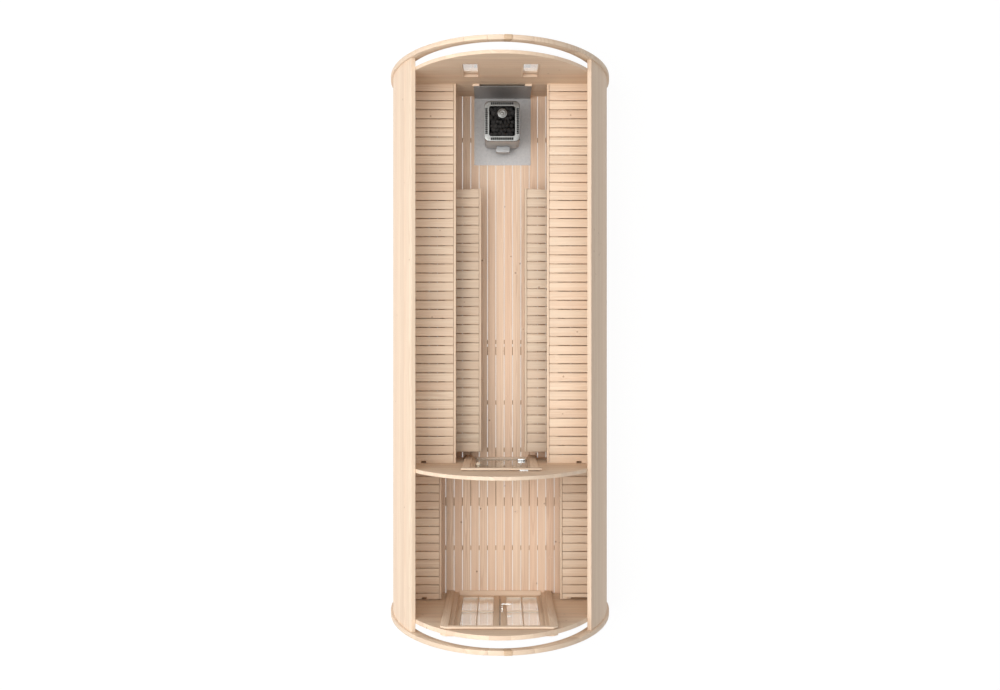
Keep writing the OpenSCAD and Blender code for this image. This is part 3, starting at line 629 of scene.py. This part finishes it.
pane, strip, bar = 0.004, 0.005, 0.012
for side, leaf, body in ((-1, "left_leaf", "left_door"), (1, "right_leaf", "right_door")):
    low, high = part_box(leaf)
    y, z0, z1 = (low.y, high.y), low.z, high.z
    glass_z0, glass_z1 = z0 + 0.082, z1 - 0.075
    bm = bmesh.new()
    for x, z, way in (((0.004, 0.068), (z0, z1), TALL), ((0.408, 0.452), (z0, z1), TALL),
                      ((0.0682, 0.4078), (z0, glass_z0), WIDE), ((0.0682, 0.4078), (glass_z1, z1), WIDE)):
        side_plank(bm, side, x, y, z, way, ease=0.003, segments=2)
    mid_x, mid_z = side * 0.238, z0 + 0.880
    left, right = mirrored(side, 0.068, 0.408)
    # The bars take fixed tones, the cross bars among the lightest boards: painted light, where the wall head
    # shades the bars
    for y0 in (low.y, high.y - bar):
        plank(bm, (mid_x - bar / 2, y0, glass_z0), (mid_x + bar / 2, y0 + bar, glass_z1), TALL,
              ease=0.004, segments=2, tone=0.0)
        for a, b in ((left, mid_x - 0.0062), (mid_x + 0.0062, right)):
            plank(bm, (a, y0, mid_z - 0.008), (b, y0 + bar, mid_z + 0.008), WIDE,
                  ease=0.004, segments=2, tone=0.13)
    piece(leaf + "_frame", bm, [spruce], [leaf], body=body, smooth=40)
    bm = bmesh.new()
    x0, x1 = (-0.0038, 0.0010) if side < 0 else (0.0015, 0.0038)
    plank(bm, (x0, low.y, z0 + 0.002), (x1, low.y + 0.006, z1 - 0.002), TALL, ease=0.0005)
    piece(leaf + "_seal", bm, [rubber], body=body)
    low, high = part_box(leaf + "_glass")
    panes, strips = bmesh.new(), bmesh.new()
    for y0 in (low.y, high.y - pane):
        plank(panes, (low.x, y0, low.z), (high.x, y0 + pane, high.z), TALL, ease=0.0004)
    y0, y1, x0, x1 = low.y + 0.0042, high.y - 0.0042, low.x + 0.001, high.x - 0.001
    z0, z1, in_z0, in_z1 = low.z + 0.001, high.z - 0.001, low.z + 0.0112, high.z - 0.0112
    for a, c, b, d, way in ((x0, z0, x1, low.z + 0.011, WIDE), (x0, high.z - 0.011, x1, z1, WIDE),
                            (x0, in_z0, x0 + strip, in_z1, TALL), (x1 - strip, in_z0, x1, in_z1, TALL)):
        plank(strips, (a, y0, c), (b, y1, d), way, ease=0.0003)
    piece(leaf + "_panes", panes, [clear_glass], [leaf + "_glass"], body=body)
    piece(leaf + "_spacers", strips, [aluminium], body=body)


# ---------------------------------------------------------------- hinges
# Stainless butt hinges: two fixed knuckles on a pin and one on each leaf.
# The rubbed steel is bright, with fine marks that lie level.
def steel(name, bright, dull, rough, scale=(40.0, 40.0, 900.0)):
    """Bare steel. Fine lines lie along one way of the piece, and the gloss varies softly."""
    made, tree, skin = new_material(name)
    spot = node(tree, "ShaderNodeTexCoord").outputs["Object"]
    drawn = node(tree, "ShaderNodeMapping", {"Vector": spot, "Scale": scale})
    lines = noise(tree, drawn, 1.0, 3.0)
    both = node(tree, "ShaderNodeMix", {0: 0.5, 2: lines, 3: noise(tree, spot, 14.0, 3.0)}, data_type="FLOAT")
    tint = remap(tree, both, 0.38, 0.62)
    gloss = remap(tree, both, 0.35, 0.65, rough - 0.06, rough + 0.08)
    relief = node(tree, "ShaderNodeBump", {"Strength": 0.1, "Distance": 0.0003, "Height": lines})
    fill(tree, skin, {"Base Color": blend(tree, tint, dull, bright), "Roughness": gloss, "Normal": relief,
                      "Metallic": 1.0})
    return made


stainless = steel("rubbed stainless steel", "#E4E5E4", "#CFD0D0", 0.28)
for name in ("frame_hinges", "left_leaf_hinges", "right_leaf_hinges"):
    dress(name, stainless)


# ---------------------------------------------------------------- door handle
# A cast lever with a long back plate on each face of the right leaf, in satin
# nickel: a turned neck, and a round lever that points away from the other leaf.
def turned(whole, profile, base, axis, steps=28):
    """A turned piece: a profile of (radius, height) from pole to pole, spun round an axis."""
    part = bmesh.new()
    line = [part.verts.new((r, 0.0, h)) for r, h in profile]
    edges = [part.edges.new(pair) for pair in zip(line, line[1:])]
    bmesh.ops.spin(part, geom=line + edges, cent=(0, 0, 0), axis=TALL, angle=2.0 * math.pi, steps=steps,
                   use_merge=True)
    bmesh.ops.remove_doubles(part, verts=part.verts[:], dist=0.00002)
    bmesh.ops.recalc_face_normals(part, faces=part.faces[:])
    turn = Vector(TALL).rotation_difference(Vector(axis)).to_matrix().to_4x4()
    bmesh.ops.transform(part, matrix=Matrix.Translation(base) @ turn, verts=part.verts[:])
    lay_grain(part, axis)
    join(whole, part)


nickel = steel("satin nickel", "#F0EFEC", "#DEDDD9", 0.22)
leaf_low, leaf_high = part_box("right_leaf")
low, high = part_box("door_handle")
plate_x, lever_z = low.x + 0.012, high.z - 0.180
bm = bmesh.new()
for face, way in ((leaf_high.y, 1), (leaf_low.y, -1)):
    y0, y1 = sorted((face + way * 0.0003, face + way * 0.0083))
    plank(bm, (plate_x - 0.012, y0, low.z), (plate_x + 0.012, y1, high.z), TALL, ease=0.003, segments=3)
    turned(bm, [(0, 0), (0.0120, 0), (0.0120, 0.004), (0.0085, 0.008), (0.0080, 0.046), (0, 0.046)],
           (plate_x, face + way * 0.008, lever_z), (0, way, 0))
    turned(bm, [(0, 0), (0.006, 0.0006), (0.0088, 0.003), (0.009, 0.02), (0.0087, 0.094), (0.0080, 0.104),
                (0.005, 0.1082), (0, 0.109)], (plate_x - 0.009, face + way * 0.0523, lever_z), WIDE)
piece("lever_handle", bm, [nickel], ["door_handle"], body="right_door", smooth=35)


# ---------------------------------------------------------------- inner door frame
# Posts, head, stops, a low sill and casing boards round the glass door. The
# sauna casings stand 9 mm off the boards; a steel clip holds the head casing.
low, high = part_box("inner_door_jambs")
inner_half, inner_post, post_top = 0.294, 0.334, 1.7357
stop_y = (-1.268, -1.260)
frame_y = (lobby_face, sauna_face + 0.009)
casing_low_y = (sauna_face + 0.009, lobby_face - 0.020)
bm = bmesh.new()
for side, stop in ((-1, 0.030), (1, 0.008)):
    side_plank(bm, side, (inner_half, inner_post), frame_y, (low.z, post_top), TALL, inner_x)
    side_plank(bm, side, (inner_half - stop, inner_half), stop_y, (sill_top, post_top - 0.014), TALL, inner_x,
               ease=0.001)
    for y in casing_low_y:
        side_plank(bm, side, (0.3075, 0.3875), (y, y + 0.020), (low.z, 1.7497), TALL, inner_x,
                   ease=0.004, segments=2)
piece("inner_door_posts", bm, [spruce], ["inner_door_jambs"], smooth=40)

low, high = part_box("inner_door_head")
head_low, head_half = 1.736, 0.3337
bm = bmesh.new()
side_plank(bm, 1, (-head_half, head_half), frame_y, (head_low, inner_top), WIDE, inner_x)
side_plank(bm, 1, (-inner_half, inner_half), stop_y, (1.722, head_low), WIDE, inner_x, ease=0.001)
for y in casing_low_y:
    plank(bm, (low.x, y, 1.750), (high.x, y + 0.020, high.z), WIDE, ease=0.004, segments=2)
piece("inner_head_boards", bm, [spruce], ["inner_door_head"], smooth=40)

clamp_x0, clamp_x1 = 0.197, 0.277
bm = bmesh.new()
plank(bm, (clamp_x0, sauna_face + 0.0005, high.z + 0.0033), (clamp_x1, sauna_face + 0.0145, high.z + 0.0053),
      WIDE, ease=0.0006)
piece("head_clip_plate", bm, [stainless])

sill("inner_sill_board", "inner_door_sill")


# ---------------------------------------------------------------- inner door
# One sheet of 8 mm toughened grey glass without a frame, on two clamp hinges,
# with a turned ball knob of pale aspen on each face.
grey_glass = glazing("toughened grey glass, lightly etched", ("#B9BCB8", "#C3C6C2"), rough=0.05)
dress("inner_glass_door", grey_glass)

# Each clamp is a plate on either face of the glass, over a thin brown rubber
# pad, and the outer plate carries the knuckle that turns on the frame's pin.
low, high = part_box("inner_door_hinges")
glass_low, glass_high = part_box("inner_glass_door")
plates, pads = bmesh.new(), bmesh.new()
clamp_tall = 0.060
for z in (low.z, high.z - clamp_tall):
    for y0, y1, pad0, pad1 in ((high.y - 0.0145, high.y + 0.002, glass_high.y + 0.0002, high.y - 0.0147),
                               (low.y + 0.011, low.y + 0.029, low.y + 0.0292, glass_low.y - 0.0002)):
        plank(plates, (clamp_x0, y0, z), (clamp_x1, y1, z + clamp_tall), TALL, ease=0.0025, segments=2)
        plank(pads, (0.1955, pad0, z - 0.0015), (0.2785, pad1, z + 0.0615), TALL, ease=0.0005)
    turned(plates, [(0.00305, 0), (0.006, 0), (0.006, 0.020), (0.00305, 0.020), (0.00305, 0)],
           (0.287, low.y + 0.006, z + 0.020), TALL, steps=24)
    plank(plates, (0.262, low.y + 0.003, z + 0.0203), (0.2815, low.y + 0.012, z + 0.0397), TALL, ease=0.001)
piece("clamp_plates", plates, [stainless], ["inner_door_hinges"], body="inner_door",
      smooth=35)
piece("clamp_pads", pads, [rubber], body="inner_door")

aspen = timber("turned aspen", "#F1E4D0", "#EADBC4", "#D2BC9C", "#B79468", rings=0.005, knots=0.0, rough=0.45)
knob_x, knob_z = -0.227, 1.220
bm = bmesh.new()
for face, way in ((glass_high.y, 1), (glass_low.y, -1)):
    turned(bm, [(0, 0), (0.013, 0), (0.013, 0.003), (0.0095, 0.006), (0.0095, 0.012), (0.0155, 0.0145),
                (0.0205, 0.0175), (0.0235, 0.0225), (0.025, 0.029), (0.0238, 0.0365), (0.0202, 0.0435),
                (0.0145, 0.0487), (0.0075, 0.0518), (0, 0.0527)],
           (knob_x, face + way * 0.0003, knob_z), (0, way, 0))
piece("ball_knob", bm, [aspen], ["inner_door_knob"], body="inner_door", smooth=35)


# ---------------------------------------------------------------- benches
# Two steps of seats on each side of the sauna, and one seat on each side of
# the front room: spruce slats across 86 mm bearers, behind a fascia board.
def notched_slat(whole, low, high, notch):
    """A slat with a notch in its near edge."""
    deep = 0.022
    part = bmesh.new()
    spots = [(low[0], low[1]), (notch[0], low[1]), (notch[0], low[1] + deep), (notch[1], low[1] + deep),
             (notch[1], low[1]), (high[0], low[1]), (high[0], high[1]), (low[0], high[1])]
    part.faces.new([part.verts.new((x, y, low[2])) for x, y in spots])
    draw_out(part, (0, 0, high[2] - low[2]))
    ease_edges(part, 0.0025, segments=2)
    lay_grain(part, WIDE, LONG)
    join(whole, part)


def bench(whole, side, x_in, x_out, low, high, first, step, notch=None):
    """One seat: fascia, slats, the two bearers below them and the batten behind the fascia."""
    y0, y1, top = low.y, high.y, high.z
    gap, slat, bearer = 0.009, 0.028, 0.086
    side_plank(whole, side, (x_in, x_in + 0.023), (y0, y1), (top - 0.090, top), LONG, ease=0.003, segments=2)
    x0, x1 = mirrored(side, x_in + 0.026, x_out)
    a, b = y0, y0 + first
    while b - a > 0.012:
        if a == y0 and notch:
            notched_slat(whole, (x0, a, top - slat), (x1, b, top), mirrored(side, *notch))
        else:
            plank(whole, (x0, a, top - slat), (x1, b, top), WIDE, ease=0.0018, segments=2, across=LONG)
        a = y0 + first + gap if a == y0 else a + step
        b = min(a + step - gap, y1)
    under = (top - 0.056, top - 0.0282)
    for a in (x_in + 0.033, x_out - bearer):
        side_plank(whole, side, (a, a + bearer), (y0, y1), under, LONG)
    side_plank(whole, side, (x_in + 0.0232, x_in + 0.033), (y0, y1), under, LONG)


low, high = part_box("upper_benches")
bm = bmesh.new()
for side, x_in, notch in ((1, 0.500, (0.815, 0.869)), (-1, 0.470, (0.787, 0.841))):
    bench(bm, side, x_in, high.x, low, high, 0.0876, 0.0966, notch)
piece("upper_seats", bm, [spruce], ["upper_benches"], smooth=40)

# The lower seats are a shade darker than the upper ones: painted shade, for the light that the upper seats
# and the walls keep off them
painted_shade = timber("planed spruce, trodden", "#E1CDB5", "#DAC3AB", "#C4A487", "#865E3C")
low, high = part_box("lower_benches")
lower_deep, lower_in, front_in = 0.415, {1: 0.270, -1: 0.205}, {1: 0.653, -1: 0.637}
bm = bmesh.new()
for side, x_in in lower_in.items():
    bench(bm, side, x_in, x_in + lower_deep, low, high, 0.0991, 0.0986)
piece("lower_seats", bm, [painted_shade], ["lower_benches"], smooth=40)

# The right seat of the front room takes the same darker spruce, as painted shade
low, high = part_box("front_benches")
for side, notch, name, made, nodes in (
        (1, (0.727, 0.949), "right_front_seat", painted_shade, ["front_benches"]),
        (-1, (0.798, 0.852), "left_front_seat", spruce, [])):
    bm = bmesh.new()
    bench(bm, side, front_in[side], high.x, low, high, 0.062, 0.0909, notch)
    piece(name, bm, [made], nodes, smooth=40)


# ---------------------------------------------------------------- bench supports
# Posts and rails of 45 x 45 mm planed spruce, screwed together into frames that
# stand on the floor across the room and carry the bearers of the seats.
post = 0.045


def stick(whole, side, x0, x1, y, z0, z1, along):
    """A post or a rail of square timber."""
    side_plank(whole, side, (x0, x1), (y, y + post), (z0, z1), along)


low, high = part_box("bench_supports")
foot_z = low.z
upper_z, lower_z, front_z = high.z, floor_top + 0.3437, floor_top + 0.3937
upper_end, front_end = 1.0397, 1.085
bm = bmesh.new()
for side in (1, -1):
    near, back, front = lower_in[side] + 0.035, lower_in[side] + 0.420, front_in[side] + 0.035
    for y in (-1.100, 0.2727, 1.6204):
        stick(bm, side, back, back + post, y, foot_z, upper_z, TALL)
        stick(bm, side, near + post, back, y, lower_z - post, lower_z, WIDE)
        stick(bm, side, near, near + post, y, foot_z, lower_z, TALL)
        stick(bm, side, back + post, upper_end, y, upper_z - post, upper_z, WIDE)
    stick(bm, side, back, back + post, high.y - post, foot_z, upper_z, TALL)
    stick(bm, side, back + post, upper_end, high.y - post, upper_z - post, upper_z, WIDE)
    for y in (low.y, -1.430):
        stick(bm, side, front, front + post, y, foot_z, front_z, TALL)
        stick(bm, side, front + post, front_end, y, front_z - post, front_z, WIDE)
piece("seat_supports", bm, [spruce], ["bench_supports"])


# ---------------------------------------------------------------- heater cabinet
# A sheet steel cabinet on four feet, folded with round corners and stove
# enamelled light grey, with louvres in its sides and a control box in front.
def rounded_block(low, high, corner, ease=0.002, segments=6):
    """A block with round upright corners and softly eased rims."""
    low, high = Vector(low), Vector(high)
    part = block(low, high)
    upright = [e for e in part.edges if abs(e.verts[0].co.z - e.verts[1].co.z) > (high.z - low.z) / 2]
    round_off(part, upright, corner, segments)
    if ease:
        rims = [e for e in part.edges if abs(e.verts[0].co.z - e.verts[1].co.z) < 1e-6
                and abs(e.calc_face_angle(0.0)) > 1.0]
        round_off(part, rims, ease, 2)
    return part


def carve(obj, cutter):
    """Cut shapes out of a finished piece; the cut faces take its second material."""
    mesh = bpy.data.meshes.new("cutter")
    cutter.to_mesh(mesh)
    cutter.free()
    for made in obj.data.materials:
        mesh.materials.append(made)
    mesh.polygons.foreach_set("material_index", [1] * len(mesh.polygons))
    tool = bpy.data.objects.new("cutter", mesh)
    bpy.context.scene.collection.objects.link(tool)
    cut = obj.modifiers.new("cut", "BOOLEAN")
    cut.operation = "DIFFERENCE"
    cut.solver = "EXACT"
    cut.object = tool
    bpy.context.view_layer.update()
    done = bpy.data.meshes.new_from_object(obj.evaluated_get(bpy.context.evaluated_depsgraph_get()))
    obj.modifiers.clear()
    old, obj.data = obj.data, done
    done.name = old.name
    bpy.data.meshes.remove(old)
    bpy.data.objects.remove(tool)
    bpy.data.meshes.remove(mesh)


enamel, tree, skin = new_material("stove enamel, light grey")
# Sprayed enamel: even and half glossy, with a fine orange peel of about 3 mm
spot = node(tree, "ShaderNodeTexCoord").outputs["Object"]
peel = noise(tree, spot, 330.0, 1.0)
colour = blend(tree, noise(tree, spot, 7.0, 3.0), "#A9ABAC", "#B9BABA")
relief = node(tree, "ShaderNodeBump", {"Strength": 0.15, "Distance": 0.0004, "Height": peel})
fill(tree, skin, {"Base Color": colour, "Normal": relief, "Roughness": 0.38})

# The cut faces of the well, the slots and the louvres: painted shade, dull and nearly black; the cabinet feet
# wear it as their own black steel
black_steel_and_painted_shade = clouded("black steel, painted shade in cut faces", "#141312", "#2A2826", 60.0, 4.0, 0.75)

low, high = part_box("heater_top")
heater_x, heater_y = (low.x + high.x) / 2, (low.y + high.y) / 2
top_low, top_high = low.z, high.z
well, well_floor, over_top = (0.140, 0.162), 0.343, 0.9


def heater_block(whole, x, y, half, z0, z1, corner, **edges):
    """A block with round corners about a place measured from the heater's middle."""
    x, y = heater_x + x, heater_y + y
    low, high = (x - half[0], y - half[1], z0), (x + half[0], y + half[1], z1)
    join(whole, rounded_block(low, high, corner, **edges))


low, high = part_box("heater_cabinet")
shell_low, shell_half = 0.193, 0.189
bm = bmesh.new()
heater_block(bm, 0, 0, (shell_half, 0.213), shell_low, high.z, 0.050)
cabinet = piece("cabinet_shell", bm, [enamel, black_steel_and_painted_shade], ["heater_cabinet"], smooth=40)
# The well and the louvres are cut into the solid shell; their cut faces take the black, which paints the
# shade inside them
cutter = bmesh.new()
heater_block(cutter, 0, 0, well, well_floor, over_top, 0.024, ease=0.0)
first_louvre, louvre_step, louvre_tall = 0.250, 0.032, 0.010
for i in range(9):
    z = first_louvre + louvre_step * i
    for x in (-shell_half, shell_half):
        heater_block(cutter, x, 0, (0.006, 0.120), z, z + louvre_tall, 0.001, ease=0.0, segments=1)
carve(cabinet, cutter)

foot_tall = shell_low - 0.001 - low.z
bm = bmesh.new()
for x in (-0.110, 0.110):
    for y in (-0.150, 0.150):
        turned(bm, [(0, 0), (0.016, 0), (0.016, 0.006), (0.012, 0.010), (0.012, foot_tall), (0, foot_tall)],
               (heater_x + x, heater_y + y, low.z), TALL, steps=20)
piece("cabinet_feet", bm, [black_steel_and_painted_shade], smooth=35)

box_y, box_deep = low.y, 0.066
bm = bmesh.new()
join(bm, rounded_block((heater_x - 0.066, box_y, 0.250), (heater_x + 0.084, box_y + box_deep, 0.390), 0.016,
                       ease=0.004))
for x in (-0.030, 0.045):
    turned(bm, [(0, 0), (0.019, 0), (0.019, 0.003), (0.015, 0.005), (0.014, 0.011), (0.012, 0.012),
                (0, 0.012)], (heater_x + x, box_y + 0.012, 0.322), (0, -1, 0), steps=24)
piece("control_box", bm, [enamel], smooth=35)


# ---------------------------------------------------------------- heater top
# A pressed stainless cover with round corners. A row of air slots is stamped
# through the rim on each side of the oblong well in its middle.
bright_sheet = steel("bright stainless sheet", "#7A7A78", "#686866", 0.34, scale=(30.0, 600.0, 30.0))
bm = bmesh.new()
heater_block(bm, 0, 0, (0.191, 0.215), top_low, top_high, 0.052, ease=0.005, segments=8)
cover = piece("heater_cover", bm, [bright_sheet, black_steel_and_painted_shade], ["heater_top"], smooth=40)
# The slots stop 4 mm above the bottom of the cover; their floors and sides take the black, which paints the
# shade of a hole through
cutter = bmesh.new()
heater_block(cutter, 0, 0, well, top_low - 0.02, top_high + 0.02, 0.024, ease=0.0)
# The slots: 12 on each short side, 14 on each long side
slots = [((i - 5.5) * 0.0205, y, (0.0085, 0.0140)) for i in range(12) for y in (-0.189, 0.189)]
slots += [(x, (i - 6.5) * 0.0200, (0.0130, 0.0083)) for i in range(14) for x in (-0.168, 0.168)]
for x, y, half in slots:
    heater_block(cutter, x, y, half, top_low + 0.004, top_high + 0.02, 0.003, ease=0.0, segments=2)
carve(cover, cutter)


# ---------------------------------------------------------------- heater stones
# Split olivine diabase, 45 to 70 mm, piled loose in the well: almost black,
# rough and matt, with a shallow steel water cup set on the pile.
diabase, tree, skin = new_material("split olivine diabase")
spot = node(tree, "ShaderNodeTexCoord").outputs["Object"]
tone = node(tree, "ShaderNodeAttribute", attribute_name="tone").outputs["Fac"]
grit = noise(tree, spot, 160.0, 5.0, Roughness=0.7)
stone = blend(tree, tone, "#070606", "#141211")
flecked = blend(tree, remap(tree, grit, 0.45, 0.75), stone, "#302C2A")
relief = node(tree, "ShaderNodeBump", {"Strength": 0.6, "Distance": 0.002, "Height": grit})
fill(tree, skin, {"Base Color": flecked, "Normal": relief, "Roughness": 0.8})

low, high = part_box("heater_stones")
bm = bmesh.new()
for top in (high.z + 0.004, high.z - 0.040, high.z - 0.085):
    for row in range(7):
        for column in range(6):
            size = chance.uniform(0.026, 0.034)
            x = low.x + 0.020 + (high.x - low.x - 0.040) * (column + 0.5 * (row % 2) * 0.9) / 5.5
            y = low.y + 0.022 + (high.y - low.y - 0.044) * row / 6
            centre = Vector((x + chance.uniform(-0.006, 0.006), y + chance.uniform(-0.006, 0.006),
                             top - size + chance.uniform(-0.014, 0.0)))
            part = bmesh.new()
            bmesh.ops.create_icosphere(part, subdivisions=2, radius=size)
            for v in part.verts:
                v.co *= chance.uniform(0.86, 1.08)
            for _ in range(4):
                way = Vector([chance.uniform(-1, 1) for _ in range(3)]).normalized()
                for v in part.verts:
                    over = v.co.dot(way) - size * 0.72
                    if over > 0:
                        v.co -= way * over
            bmesh.ops.scale(part, vec=[chance.uniform(0.75, 1.12) for _ in range(3)], verts=part.verts[:])
            bmesh.ops.translate(part, vec=centre, verts=part.verts[:])
            lay_grain(part, TALL, tone=chance.random() ** 3)
            join(bm, part)
piece("diabase_stones", bm, [diabase], ["heater_stones"], smooth=25)

bm = bmesh.new()
turned(bm, [(0, 0.004), (0.044, 0.004), (0.048, 0.010), (0.0500, 0.0135), (0.0512, 0.0150), (0.0500, 0.0160),
            (0.040, 0.0160), (0.034, 0.0105), (0.028, 0.0120), (0.022, 0.0120), (0.0180, 0.0098),
            (0.012, 0.0125), (0.006, 0.0140), (0, 0.0145)],
       (0.025, 2.488, high.z - 0.002), TALL, steps=36)
piece("water_cup", bm, [bright_sheet], smooth=40)


# ---------------------------------------------------------------- heat shields
# Galvanised sheet, 3 mm: one on two battens on the wall behind the heater and
# one on the floor under it. Grey zinc with a faint spangle of 15 mm flakes.
zinc, tree, skin = new_material("galvanised sheet steel")
spot = node(tree, "ShaderNodeTexCoord").outputs["Object"]
flakes = node(tree, "ShaderNodeTexVoronoi", {"Vector": spot, "Scale": 60.0})
pick = node(tree, "ShaderNodeSeparateColor", {0: flakes.outputs["Color"]})
both = node(tree, "ShaderNodeMix", {0: 0.45, 2: pick, 3: noise(tree, spot, 5.0, 4.0)}, data_type="FLOAT")
fill(tree, skin, {"Base Color": blend(tree, both, "#959392", "#ACAAA8"), "Metallic": 0.5,
                  "Roughness": remap(tree, both, to_low=0.38, to_high=0.55)})
dress("heat_shield", zinc)

low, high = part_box("shield_battens")
batten = 0.073
bm = bmesh.new()
for x in (low.x, high.x - batten):
    plank(bm, (x, low.y, low.z), (x + batten, high.y, high.z), TALL)
piece("shield_strips", bm, [spruce], ["shield_battens"])

low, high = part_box("heat_shield")
shield_x, sheet_thick = 0.028, 0.003
bm = bmesh.new()
for x in (-0.258, 0.258):
    for z in (0.24, 0.80):
        turned(bm, [(0, 0), (0.0055, 0), (0.0052, 0.0014), (0.0035, 0.0024), (0, 0.0028)],
               (shield_x + x, high.y - sheet_thick - 0.0002, z), (0, -1, 0), steps=16)
piece("shield_screws", bm, [stainless], smooth=35)
